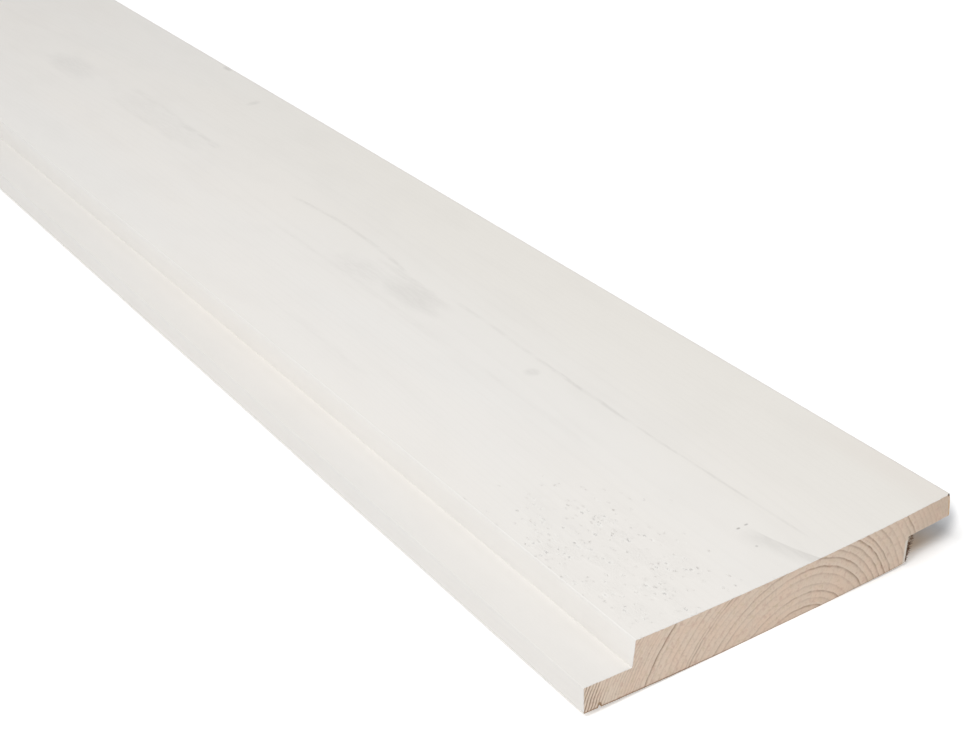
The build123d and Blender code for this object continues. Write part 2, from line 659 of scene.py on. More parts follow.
def fibre_mesh(s):
    """Torn fibres at the near end of the front shoulder: each is a three-sided strand whose line
    starts on the shoulder's arris and runs out by t and down by t squared, and whose thickness falls
    to nothing at its tip."""
    rng = np.random.default_rng(5)
    count, along, around = 300, 6, 3
    half = s.width / 2
    root = half - s.front_lap_width
    seat = s.thickness - s.front_lap_thickness
    share = rng.beta(1.1, 1.0, count)
    low = np.array([root - s.front_shoulder_lean, rise(root - s.front_shoulder_lean, s) + s.arris_radius])
    high = np.array([root, seat + rise(root, s)])
    start = between(low, high, share)
    reach = rng.uniform(0.6, 3.2, count) * MM * (0.5 + 0.6 * share)
    sag = rng.uniform(-0.1, 0.9, count) * MM * (0.35 + share)
    out = rng.uniform(-0.2, 0.7, count) * MM
    thick = rng.uniform(0.07, 0.17, count) * MM
    t = np.linspace(0, 1, along)
    line = np.empty((count, along, 3))
    line[..., 0] = start[:, :1] - 0.12 * MM + reach[:, None] * t
    line[..., 1] = -s.length / 2 + 0.22 * MM + out[:, None] * t**1.5
    line[..., 2] = start[:, 1:] - sag[:, None] * t**2
    turn = 2 * np.pi * np.arange(around) / around
    size = thick[:, None] * (1 - 0.93 * t**1.6)
    ring = np.zeros((count, along, around, 3))
    ring[..., 1] = size[..., None] * np.cos(turn)
    ring[..., 2] = size[..., None] * np.sin(turn)
    vertices = (line[:, :, None] + ring).reshape(-1, 3)
    number = np.arange(count * along * around).reshape(count, along, around)
    beside = np.roll(number, -1, axis=2)
    walls = np.stack([number[:, :-1], beside[:, :-1], beside[:, 1:], number[:, 1:]], axis=-1).reshape(-1, 4)
    caps = np.concatenate([number[:, 0, ::-1], number[:, -1]])
    return vertices, walls.tolist() + caps.tolist()


# Shader graphs


class Graph:
    """Short calls that add nodes to a tree and join them. Any number or colour can be given in place
    of a socket."""

    def __init__(self, tree):
        self.tree = tree
        self.tree.nodes.clear()

    def node(self, kind, **settings):
        n = self.tree.nodes.new(kind)
        made = len(self.tree.nodes) - 1
        n.location = (made % 14 * 190, -(made // 14) * 300)
        for key, value in settings.items():
            setattr(n, key, value)
        return n

    def feed(self, socket, value):
        if isinstance(value, bpy.types.NodeSocket):
            self.tree.links.new(value, socket)
        elif value is not None:
            socket.default_value = value

    def math(self, operation, a, b=None, c=None, clamp=False):
        n = self.node("ShaderNodeMath", operation=operation, use_clamp=clamp)
        for socket, value in zip(n.inputs, (a, b, c)):
            self.feed(socket, value)
        return n.outputs[0]

    def plus(self, a, b):
        return self.math("ADD", a, b)

    def minus(self, a, b):
        return self.math("SUBTRACT", a, b)

    def times(self, a, b, clamp=False):
        return self.math("MULTIPLY", a, b, clamp=clamp)

    def over(self, a, b, clamp=False):
        return self.math("DIVIDE", a, b, clamp=clamp)

    def times_plus(self, a, b, c):
        return self.math("MULTIPLY_ADD", a, b, c)

    def larger(self, a, b):
        return self.math("MAXIMUM", a, b)

    def distance(self, u, v):
        """How far it is from a place that lies u away one way and v the other."""
        return self.math("SQRT", self.plus(self.times(u, u), self.times(v, v)))

    def span(self, value, start, end, low=0.0, high=1.0, smooth=True):
        """The value's place between start and end, carried over to between low and high."""
        kind = "SMOOTHSTEP" if smooth else "LINEAR"
        n = self.node("ShaderNodeMapRange", interpolation_type=kind, clamp=True)
        for socket, v in zip(n.inputs, (value, start, end, low, high)):
            self.feed(socket, v)
        return n.outputs["Result"]

    def blend(self, share, a, b):
        """Colour a, with that share of it turned to colour b."""
        n = self.node("ShaderNodeMix", data_type="RGBA")
        self.feed(n.inputs["Factor"], share)
        for socket, value in ((n.inputs[6], a), (n.inputs[7], b)):
            self.feed(socket, value if isinstance(value, bpy.types.NodeSocket) else (*value, 1.0))
        return n.outputs[2]

    def noise(self, place, detail=2.0, roughness=0.5, distortion=0.0):
        n = self.node("ShaderNodeTexNoise")
        self.feed(n.inputs["Vector"], place)
        settings = {"Scale": 1.0, "Detail": detail, "Roughness": roughness, "Distortion": distortion}
        for key, v in settings.items():
            self.feed(n.inputs[key], v)
        return n.outputs[0]

    def stretch(self, place, x, y, z, shift=(0.0, 0.0, 0.0)):
        """The place times three scales, then moved by the shift."""
        n = self.node("ShaderNodeMapping")
        self.feed(n.inputs["Vector"], place)
        n.inputs["Scale"].default_value = (x, y, z)
        n.inputs["Location"].default_value = shift
        return n.outputs[0]

    def axes(self, place):
        n = self.node("ShaderNodeSeparateXYZ")
        self.feed(n.inputs[0], place)
        return n.outputs

    def place(self, x, y, z):
        n = self.node("ShaderNodeCombineXYZ")
        for socket, v in zip(n.inputs, (x, y, z)):
            self.feed(socket, v)
        return n.outputs[0]

    def group(self, tree, **values):
        n = self.node("ShaderNodeGroup", node_tree=tree)
        for key, v in values.items():
            self.feed(n.inputs[key.replace("_", " ").capitalize()], v)
        return n.outputs

    def bump(self, height, distance, strength):
        n = self.node("ShaderNodeBump")
        self.feed(n.inputs["Height"], height)
        n.inputs["Distance"].default_value = distance
        n.inputs["Strength"].default_value = strength
        return n.outputs[0]


def new_group(name, inputs, outputs):
    """An empty node group with named sockets. Returns its graph, its input sockets and a function that
    joins its outputs."""
    tree = bpy.data.node_groups.new(name, "ShaderNodeTree")
    graph = Graph(tree)
    for key, kind in inputs:
        tree.interface.new_socket(key, in_out="INPUT", socket_type=kind)
    for key in outputs:
        tree.interface.new_socket(key, in_out="OUTPUT", socket_type="NodeSocketFloat")
    given = graph.node("NodeGroupInput").outputs
    end = graph.node("NodeGroupOutput")

    def give(**values):
        for key, v in values.items():
            graph.feed(end.inputs[key.replace("_", " ").capitalize()], v)

    return tree, graph, given, give


FLOAT = "NodeSocketFloat"
VECTOR = "NodeSocketVector"


def ring_line_group():
    """One ring at a given radius: dark on the ring, fading slowly inwards through the season and
    quickly outwards, with a thin pale line just outside it."""
    names = ("Reach", "Side", "Radius", "Left", "Right")
    tree, g, given, give = new_group("Ring line", [(n, FLOAT) for n in names], ["Dark", "Pale"])
    darkness = g.span(given["Side"], 0.0, 1.0, given["Left"], given["Right"], smooth=False)
    past = g.minus(given["Reach"], given["Radius"])
    before = g.span(past, -1.15, 0.05)
    after = g.span(past, 0.05, 0.32, 1.0, 0.0)
    dark = g.times(g.times(g.math("POWER", before, 2.0), after), darkness)
    pale = g.times(g.span(past, 0.2, 0.45), g.span(past, 0.5, 1.15, 1.0, 0.0))
    give(dark=dark, pale=g.times(pale, darkness))
    return tree


def ring_group():
    """Growth rings as a solid pattern. The distance from the pith is that of an ellipse, a little wider
    to its left than to its right, whose centre wanders along the board, with a slow unevenness that
    grows away from the near end. A ramp turns the distance into a ring number, whose fraction is the
    season: the dark line lies at the end of each."""
    outputs = ["Late", "Season", "Reach", "Turn"]
    tree, g, given, give = new_group("Growth rings", [("Place", VECTOR)], outputs)
    x, y, z = g.axes(given["Place"])

    def wave(length, height):
        return g.times(g.math("SINE", g.times(y, 2 * np.pi / length)), height)

    depth = g.plus(wave(245, 0.7), wave(1730, 2.2))
    from_z = g.minus(g.minus(z, PITH[1]), depth)
    centre = g.plus(g.times_plus(from_z, 0.027, PITH[0]), wave(1310, 9.0))
    from_x = g.minus(x, centre)
    wide = g.over(from_x, g.span(from_x, -8.0, 8.0, *RING_STRETCH))
    reach = g.distance(wide, from_z)
    turn = g.math("ARCTAN2", wide, from_z)
    slow = g.noise(g.stretch(given["Place"], 0.055, 0.004, 0.055), 2.0)
    slow = g.times(g.minus(slow, 0.5), g.span(y, 15.0, 200.0, 0.0, 2.4))
    quick = g.noise(g.stretch(given["Place"], 0.26, 0.014, 0.26, (3.1, 0, 7.7)), 3.0)
    reach = g.plus(reach, slow)
    reach = g.plus(reach, g.times(g.minus(quick, 0.5), 1.0))

    # How far through its season each place is
    ramp = g.node("ShaderNodeValToRGB")
    g.feed(ramp.inputs[0], g.over(reach, OUTER_RADIUS))
    stops = ramp.color_ramp.elements
    stops[0].position, stops[0].color = 0.0, (0, 0, 0, 1)
    stops[1].position, stops[1].color = 1.0, (1, 1, 1, 1)
    rings = len(RINGS) + int((OUTER_RADIUS - RINGS[-1][0]) / NARROW_RING_WIDTH)
    for number, (radius, *_) in enumerate(RINGS, start=1):
        share = number / rings
        stops.new(radius / OUTER_RADIUS).color = (share, share, share, 1)
    season = g.math("FRACT", g.times(ramp.outputs[0], rings))
    late = g.times(g.span(season, 0.6, 0.95), g.span(season, 0.96, 1.0, 1.0, 0.3))
    give(late=late, season=season, reach=reach, turn=turn)
    return tree


def line_group():
    """A grain line: how near a place is to a slightly bowed line between two points, times how far it
    is inside the line's ends."""
    names = ("X", "Y", "Waver", "Start x", "Start y", "End x", "End y", "Bow", "Half width")
    tree, g, given, give = new_group("Grain line", [(n, FLOAT) for n in names], ["Mask"])
    x, y = given["X"], given["Y"]
    run = g.minus(given["End y"], given["Start y"])
    share = g.over(g.minus(y, given["Start y"]), run, clamp=True)
    aside = g.minus(given["End x"], given["Start x"])
    centre = g.times_plus(share, aside, given["Start x"])
    curve = g.math("SINE", g.times(share, np.pi))
    centre = g.plus(centre, g.times(curve, given["Bow"]))
    centre = g.plus(centre, given["Waver"])
    away = g.over(g.math("ABSOLUTE", g.minus(x, centre)), given["Half width"])
    mask = g.span(away, 0.25, 1.9, 1.0, 0.0)
    fade = g.times(g.span(share, 0.0, 0.12), g.span(share, 0.85, 1.0, 1.0, 0.0))
    give(mask=g.times(mask, fade))
    return tree


def arch_group():
    """A pointed arch of grain: places where the distance from the middle line, squared, matches the
    distance from the tip, as on a parabola, fading towards the open end."""
    names = ("X", "Y", "Tip x", "Tip y", "Way", "Span", "Half span width", "Line")
    tree, g, given, give = new_group("Grain arch", [(n, FLOAT) for n in names], ["Mask"])
    x, y = given["X"], given["Y"]
    down = g.times(g.minus(y, given["Tip y"]), given["Way"])
    share = g.over(down, given["Span"])
    half = g.times(g.math("SQRT", g.larger(share, 0.0)), given["Half span width"])
    away = g.math("ABSOLUTE", g.minus(g.math("ABSOLUTE", g.minus(x, given["Tip x"])), half))
    mask = g.span(g.over(away, given["Line"]), 0.1, 1.0, 1.0, 0.0)
    fade = g.times(g.span(share, -0.02, 0.03), g.span(share, 0.35, 1.0, 1.0, 0.0))
    give(mask=g.times(mask, fade))
    return tree


def knot_group():
    """A knot: the distance from its centre in half sizes, uneven round its edge, gives a heart that
    fades outwards and a darker rim."""
    names = ("Centre x", "Centre y", "Half width", "Half length")
    sockets = [("Place", VECTOR), *((n, FLOAT) for n in names)]
    tree, g, given, give = new_group("Knot", sockets, ["Heart", "Rim"])
    x, y, _ = g.axes(given["Place"])
    u = g.over(g.minus(x, given["Centre x"]), given["Half width"])
    v = g.over(g.minus(y, given["Centre y"]), given["Half length"])
    away = g.distance(u, v)
    uneven = g.noise(g.stretch(given["Place"], 0.35, 0.25, 0), 2.0)
    away = g.plus(away, g.times(g.minus(uneven, 0.5), 0.7))
    heart = g.span(away, 0.45, 1.05, 1.0, 0.0)
    rim = g.times(g.span(away, 0.6, 0.9), g.span(away, 0.95, 1.25, 1.0, 0.0))
    give(heart=heart, rim=rim)
    return tree


def fibre_group():
    """Wood fibre along the board: noise drawn out along the length at two sizes."""
    tree, g, given, give = new_group("Wood fibre", [("Place", VECTOR)], ["Fine", "Broad"])
    fine = g.noise(g.stretch(given["Place"], 2.6, 0.06, 2.6), 4.0, 0.62)
    broad = g.noise(g.stretch(given["Place"], 0.42, 0.018, 0.42, (9.0, 0, 2.0)), 3.0, 0.55)
    give(fine=fine, broad=broad)
    return tree


def mark_group():
    """A smudge: the distance from its centre in half sizes, uneven round its edge, fading outwards,
    and broken up by fine streaks along the grain."""
    names = ("X", "Y", "Uneven", "Streaks", "Centre x", "Centre y", "Half width", "Half length", "Broken")
    tree, g, given, give = new_group("Smudge", [(n, FLOAT) for n in names], ["Mask"])
    x, y = given["X"], given["Y"]
    u = g.over(g.minus(x, given["Centre x"]), given["Half width"])
    v = g.over(g.minus(y, given["Centre y"]), given["Half length"])
    away = g.distance(u, v)
    body = g.span(g.plus(away, given["Uneven"]), 0.35, 1.15, 1.0, 0.0)
    gaps = g.minus(1.0, g.times(given["Streaks"], given["Broken"]))
    give(mask=g.times(body, gaps))
    return tree


def pit_group():
    """Small torn pits: the middles of some cells of a random cell pattern, bent out of round by noise.
    The inside value is the share of the cells that have one."""
    sockets = ("X", "Y", "Inside", "Cell")
    tree, g, given, give = new_group("Torn pits", [(n, FLOAT) for n in sockets], ["Pit", "Lip", "Tint"])
    place = g.place(given["X"], given["Y"], 0.0)
    bend = g.node("ShaderNodeTexNoise")
    g.feed(bend.inputs["Vector"], g.stretch(place, 0.7, 0.5, 0))
    bend_x, bend_y, _ = g.axes(bend.outputs["Color"])
    bent_x = g.times_plus(bend_x, 3.0, given["X"])
    bent_y = g.times_plus(bend_y, 3.0, g.times(given["Y"], 0.7))
    cell = g.node("ShaderNodeTexVoronoi", voronoi_dimensions="2D", feature="F1")
    g.feed(cell.inputs["Vector"], g.place(bent_x, bent_y, 0.0))
    g.feed(cell.inputs["Scale"], g.over(1.0, given["Cell"]))
    pick = g.axes(cell.outputs["Color"])
    chosen = g.math("LESS_THAN", pick[0], given["Inside"])
    size = g.times_plus(pick[1], 0.13, 0.08)
    dot = g.span(cell.outputs["Distance"], g.times(size, 0.2), size, 1.0, 0.0)
    depth = g.times(chosen, g.span(pick[2], 0.6, 0.95, 0.55, 1.15))
    away = g.over(cell.outputs["Distance"], size)
    # The lip is a painted highlight: a pale ring round each pit
    lip = g.times(g.span(away, 0.9, 1.4), g.span(away, 1.6, 2.3, 1.0, 0.0))
    give(pit=g.times(dot, depth), lip=g.times(lip, chosen), tint=pick[1])
    return tree


GROUP_MAKERS = {
    "ring_line": ring_line_group,
    "rings": ring_group,
    "line": line_group,
    "mark": mark_group,
    "arch": arch_group,
    "knot": knot_group,
    "fibre": fibre_group,
    "pits": pit_group,
}


def named(groups, key):
    """The node group of that kind, made the first time that a material asks for it."""
    if key not in groups:
        groups[key] = GROUP_MAKERS[key]()
    return groups[key]


# Materials


def new_material(name):
    """An empty material. Returns it, its graph, the place on the board in mm with y counted from the near
    end, and its surface shader, already joined to the output."""
    material = bpy.data.materials.new(name)
    material.use_nodes = True
    g = Graph(material.node_tree)
    shader = g.node("ShaderNodeBsdfPrincipled")
    out = g.node("ShaderNodeOutputMaterial")
    g.tree.links.new(shader.outputs[0], out.inputs["Surface"])
    here = g.node("ShaderNodeTexCoord").outputs["Object"]
    place = g.stretch(here, 1 / MM, 1 / MM, 1 / MM, (0.0, BOARD_LENGTH / 2 / MM, 0.0))
    return material, g, place, shader


def marks_through(g, groups, place, x, y, gate):
    """How strongly the grain lines, arches and smudges show through the primer: the largest of them
    all. The gate breaks the lines up."""
    waver = g.noise(g.stretch(place, 0, 0.07, 0), 3.0)
    waver = g.times(g.minus(waver, 0.5), 1.1)
    uneven = g.noise(g.stretch(place, 0.22, 0.07, 0), 3.0)
    uneven = g.times(g.minus(uneven, 0.5), 0.9)
    streaks = g.noise(g.stretch(place, 0.9, 0.12, 0), 3.0, 0.6)
    streaks = g.span(streaks, 0.4, 0.62, 0.0, 0.75)

    total = 0.0
    for x0, y0, x1, y1, bow, half, strength in GRAIN_LINES:
        ends = {"start_x": x0, "start_y": y0, "end_x": x1, "end_y": y1}
        mask = g.group(named(groups, "line"), x=x, y=y, waver=waver, bow=bow, half_width=half, **ends)[0]
        broken = g.times(g.times_plus(gate, 0.7, 0.3), strength)
        total = g.larger(total, g.times(mask, broken))
    for tip_x, tip_y, way, span, width, line, strength in ARCHES:
        tip = {"tip_x": tip_x, "tip_y": tip_y, "way": way}
        size = {"span": span, "half_span_width": width, "line": line}
        mask = g.group(named(groups, "arch"), x=x, y=y, **tip, **size)[0]
        total = g.larger(total, g.times(mask, strength))
    for mark_x, mark_y, half_width, half_length, strength, broken in FACE_MARKS:
        centre = {"centre_x": mark_x, "centre_y": mark_y}
        size = {"half_width": half_width, "half_length": half_length, "broken": broken}
        mask = g.group(named(groups, "mark"), x=x, y=y, uneven=uneven, streaks=streaks, **centre, **size)[0]
        total = g.larger(total, g.times(mask, strength))
    return total


def dive_grey(g, x, y, gate):
    """Where the grain dives at the near end: grey up to a sharp curved line, fading away to its left."""
    dive = g.times_plus(g.times(y, y), DIVE_LINE[2], g.times_plus(y, DIVE_LINE[1], DIVE_LINE[0]))
    dive = g.minus(dive, x)
    grey = g.times(g.span(dive, 0.0, 0.6), g.span(dive, 1.0, 9.0, 1.0, 0.0))
    grey = g.times(grey, g.span(y, 17.0, 27.0, 1.0, 0.0))
    return g.times(grey, g.times_plus(gate, 0.35, 0.65))


def torn_pits(g, groups, place, x, y, on_face):
    """Torn pits, thick only near the back shoulder at the near end and there in clusters, and a few more
    scattered round them, from another part of the pattern. Returns the clusters, what the clustered pits
    are like, and the depth of all of them."""
    u = g.over(g.minus(x, PITTED_ZONE[0]), PITTED_ZONE[2])
    v = g.over(g.minus(y, PITTED_ZONE[1]), PITTED_ZONE[3])
    in_zone = g.span(g.plus(g.times(u, u), g.times(v, v)), 0.05, 1.3, 1.0, 0.0)
    clusters = g.span(g.noise(g.stretch(place, 0.13, 0.075, 0, (6.0, 3.0, 0)), 2.0), 0.4, 0.62)
    clusters = g.times(clusters, g.times(in_zone, on_face))
    pits = g.group(named(groups, "pits"), x=x, y=y, inside=g.times(clusters, 0.62), cell=2.1)
    spread = g.times(g.times(g.span(u, 1.5, 0.2), g.span(v, 1.4, 0.2)), 0.2)
    elsewhere = g.plus(x, 31.7)
    few = g.group(named(groups, "pits"), x=elsewhere, y=y, inside=g.times(spread, on_face), cell=1.7)
    return clusters, pits, g.larger(pits["Pit"], few["Pit"])


def coat_colour(g, colours, place, x, y, late, fine):
    """The coat's colour: it drifts, is warmer and darker toward the front edge near the near end, partly its
    own tint and partly painted shade where the cupped face turns from the lamp, and lets a trace of the late
    wood and the fine fibre through."""
    drift = g.noise(g.stretch(place, 0.02, 0.006, 0.02), 2.0)
    patches = g.noise(g.stretch(place, 0.09, 0.03, 0.09, (5.0, 1.0, 0)), 3.0)
    warm = tinted(colours.primer, 1.0, 0.995, 0.985)
    cool = tinted(colours.primer, 0.985, 0.99, 0.99)
    colour = g.blend(g.span(drift, 0.3, 0.7), warm, cool)
    # Partly the coat's tint, partly painted shade: warmer and darker toward the front edge, fading away from
    # the near end
    to_right = tinted(colours.primer, 0.955, 0.95, 0.925)
    to_far = g.span(y, 250.0, 650.0, 0.9, 0.2)
    colour = g.blend(g.times(g.span(x, -20.0, 72.0), to_far), colour, to_right)
    colour = g.blend(g.times(g.span(patches, 0.4, 0.75), 0.035), colour, colours.primer_shade)
    colour = g.blend(g.times(late, 0.02), colour, colours.primer_shade)
    streak = g.times(g.span(fine, 0.52, 0.8), 0.03)
    colour = g.blend(streak, colour, colours.primer_shade)
    flush = g.times(g.span(x, 58.0, 68.0), g.span(y, 20.0, 75.0, 1.0, 0.0))
    return g.blend(g.times(flush, 0.10), colour, srgb(206, 184, 172))


def primer_material(colours, groups):
    """Primer over planed spruce: off-white, with slow warm and cool drifts, a trace of the growth rings
    and fibre, and the few lines, smudges, knots and pits that show through."""
    material, g, place, shader = new_material("Primer coat")
    rings = g.group(named(groups, "rings"), place=place)
    fibre = g.group(named(groups, "fibre"), place=place)
    gate = g.span(g.noise(g.stretch(place, 0.5, 0.11, 0.5, (4.0, 8.0, 0)), 3.0, 0.6), 0.38, 0.6)
    x, y, z = g.axes(place)
    total = marks_through(g, groups, place, x, y, gate)
    total = g.larger(total, g.times(dive_grey(g, x, y, gate), 0.16))

    # Only the face carries these: the laps and edges lie below it or outside it
    on_face = g.times(g.span(z, *FACE_ABOVE), g.span(x, *FACE_PAST))
    total = g.times(total, on_face)
    clusters, pits, pit = torn_pits(g, groups, place, x, y, on_face)
    colour = coat_colour(g, colours, place, x, y, rings["Late"], fibre["Fine"])
    colour = g.blend(total, colour, tinted(colours.primer_shade, 0.45))

    # Painted shade, broken up along its length, greys the face's front arris, and the pits are tinted and
    # have pale lips of painted highlight
    painted_arris_shade = g.noise(g.stretch(place, 0.0, 0.16, 0.0, (0, 7.0, 0)), 4.0, 0.65)
    painted_arris_shade = g.times(g.span(painted_arris_shade, 0.4, 0.7, 0.12, 0.5), g.span(x, 72.1, 72.6))
    painted_arris_shade = g.times(painted_arris_shade, on_face)
    colour = g.blend(painted_arris_shade, colour, srgb(150, 148, 145))
    pit_colour = g.blend(pits["Tint"], srgb(168, 150, 130), srgb(146, 148, 148))
    colour = g.blend(g.times(pit, 0.75, clamp=True), colour, pit_colour)
    # Painted highlight: a pale ring round each pit, whiter than the primer
    colour = g.blend(g.times(pits["Lip"], 0.45), colour, srgb(252, 251, 247))
    # Painted shade at the foot of the back rebate and on the two arrises beside it
    for corner_x, corner_z, reach, strength in PAINTED_SHADE_CORNERS:
        aside = g.minus(x, corner_x)
        above = g.minus(z, corner_z)
        painted_shade = g.span(g.distance(aside, above), 0.0, reach, strength, 0.0)
        colour = g.blend(painted_shade, colour, tinted(colours.primer, 0.6))
    # Painted shade makes the back lap a little darker all over, and painted light makes the shoulder beside
    # it lighter and cooler
    colour = g.blend(g.span(x, -57.0, -56.4, 0.11, 0.0), colour, tinted(colours.primer, 0.6))
    painted_light_on_shoulder = g.times(g.span(x, -56.9, -56.5), g.span(x, -55.7, -55.3, 0.25, 0.0))
    colour = g.blend(painted_light_on_shoulder, colour, srgb(240, 239, 237))
    g.feed(shader.inputs["Base Color"], colour)
    g.feed(shader.inputs["Roughness"], g.times_plus(fibre["Broad"], 0.18, 0.5))
    shader.inputs["Specular IOR Level"].default_value = 0.35

    rough = g.noise(g.stretch(place, 1.9, 1.3, 1.9, (0, 2.0, 0)), 3.0, 0.6)
    rough = g.times(rough, g.times(clusters, 5.5))
    height = g.times_plus(fibre["Fine"], 0.35, rough)
    height = g.minus(height, g.times(pit, 2.0))
    g.feed(shader.inputs["Normal"], g.bump(height, 0.00006, 0.7))
    return material


def bare_material(colours, groups):
    """Planed spruce on the back and in the front rebate, with primer mist near the painted arrises."""
    material, g, place, shader = new_material("Planed spruce")
    rings = g.group(named(groups, "rings"), place=place)
    fibre = g.group(named(groups, "fibre"), place=place)
    season = g.math("POWER", rings["Season"], 2.2)
    late = g.larger(g.times(rings["Late"], 0.85), g.times(season, 0.4))
    colour = g.blend(late, colours.back_earlywood, colours.back_latewood)
    broad = g.span(fibre["Broad"], 0.35, 0.7)
    colour = g.blend(g.times(broad, 0.16), colour, colours.back_latewood)
    fine = g.times(g.span(fibre["Fine"], 0.45, 0.8), 0.28)
    colour = g.blend(fine, colour, tinted(colours.back_latewood, 0.82))
    height = g.times_plus(fibre["Fine"], 0.6, g.times(late, 0.4))
    for x, y, half_width, half_length, strength in BACK_KNOTS:
        size = {"half_width": half_width, "half_length": half_length}
        knot = g.group(named(groups, "knot"), place=place, centre_x=x, centre_y=y, **size)
        colour = g.blend(g.times(knot["Heart"], strength), colour, colours.knot)
        colour = g.blend(g.times(knot["Rim"], 0.7 * strength), colour, tinted(colours.knot, 0.45))
    x, _, _ = g.axes(place)
    ragged = g.noise(g.stretch(place, 0.5, 0.16, 0.5), 4.0, 0.6)
    from_left = g.plus(x, HALF_WIDTH)
    from_right = g.minus(HALF_WIDTH, x)
    near = g.math("MINIMUM", from_left, from_right)
    near = g.plus(near, g.times(g.minus(ragged, 0.5), 7.0))
    mist = g.span(near, 0.6, 4.2, 0.92, 0.0)
    colour = g.blend(mist, colour, tinted(colours.primer, 0.97))
    g.feed(shader.inputs["Base Color"], colour)
    g.feed(shader.inputs["Roughness"], g.times_plus(fibre["Broad"], 0.2, 0.48))
    shader.inputs["Specular IOR Level"].default_value = 0.35
    g.feed(shader.inputs["Normal"], g.bump(height, 0.00008, 0.6))
    return material


def ring_marks(g, groups, rings, x, mottle):
    """How dark and how pale the growth rings make each place: the largest of the rings one by one, and
    past them the narrow ones of the back lap's side, worn unevenly along each ring."""
    late, pale = 0.0, 0.0
    from_pith = g.span(x, PITH[0] - 7.0, PITH[0] + 7.0)
    for radius, at_left, at_right in RINGS:
        darkness = {"radius": radius, "left": at_left, "right": at_right}
        line = g.group(named(groups, "ring_line"), reach=rings["Reach"], side=from_pith, **darkness)
        late = g.larger(late, line["Dark"])
        pale = g.larger(pale, line["Pale"])
    past = g.over(g.minus(rings["Reach"], NARROW_FROM), NARROW_RING_WIDTH)
    narrow = g.math("FRACT", past)
    outer = g.times(g.span(narrow, 0.25, 0.8), g.span(narrow, 0.85, 1.0, 1.0, 0.0))
    outer = g.times(outer, g.span(past, 0.0, 1.5))
    clear = g.times(g.span(x, -71.0, -63.0, 1.0, 0.34), g.span(x, -58.0, -40.0, 1.0, 0.0))
    late = g.larger(late, g.times(outer, clear))
    along = g.noise(g.place(g.times(rings["Turn"], 9.0), g.times(rings["Reach"], 0.35), 3.0), 3.0)
    late = g.times(late, g.span(along, 0.32, 0.62, 0.45, 1.1))
    return g.times(late, g.span(mottle, 0.2, 0.5, 0.7, 1.0)), pale


def end_edges(g, colour, place, x, z):
    """The end's colour with its edges: a pale painted highlight along the arris, a painted brown shade along
    the foot, the pale shoulder fibres, partly painted highlight, the orange edge of the front lap's tip, the
    cut edge of the primer and the chip. The distances in mm from the arris, the coat and the foot are
    attributes of the mesh, and noise makes them uneven."""
    edge = g.node("ShaderNodeAttribute", attribute_name="edge_gap").outputs["Fac"]
    coat = g.node("ShaderNodeAttribute", attribute_name="coat_gap").outputs["Fac"]
    foot = g.node("ShaderNodeAttribute", attribute_name="foot_gap").outputs["Fac"]
    uneven = g.noise(g.stretch(place, 0.8, 0.2, 0.8, (1.0, 0, 3.0)), 3.0)
    shift = g.minus(uneven, 0.5)
    # Painted highlight: the arris paler, as frayed fibres catching the light
    painted_arris_highlight = g.span(g.times_plus(shift, 0.35, edge), 0.1, 0.45, 0.35, 0.0)
    colour = g.blend(painted_arris_highlight, colour, srgb(226, 213, 196))
    # Painted shade: brown along the foot, darkest at the left where the cupped board stands clear of the
    # floor
    brown = g.span(g.times_plus(shift, 0.6, foot), 0.1, 0.75, 1.0, 0.0)
    brown = g.times(brown, g.span(x, -42.0, 4.0, 0.9, 0.3))
    colour = g.blend(brown, colour, srgb(142, 108, 78))
    # The long fibres of the shoulder's arris are pale, partly their own colour and partly a painted highlight
    # where they catch the light, and the front lap's tip edge turns orange
    pale = g.times(g.span(x, 54.1, 54.6), g.span(z, 9.6, 10.4, 0.75, 0.0))
    colour = g.blend(pale, colour, srgb(234, 229, 220))
    tip = g.plus(x, g.times(g.minus(z, 11.9), 0.135))
    orange_tip_line = g.span(g.times_plus(shift, 0.6, tip), 73.2, 73.7, 0.0, 0.75)
    colour = g.blend(orange_tip_line, colour, srgb(214, 170, 112))
    lip = g.times_plus(shift, 0.55, coat)
    colour = g.blend(g.span(lip, 0.08, 0.26, 0.95, 0.0), colour, srgb(252, 251, 250))
    chip = g.node("ShaderNodeAttribute", attribute_name="chip").outputs["Fac"]
    return g.blend(g.span(chip, 0.1, 0.45, 0.0, 0.95), colour, srgb(58, 44, 36))


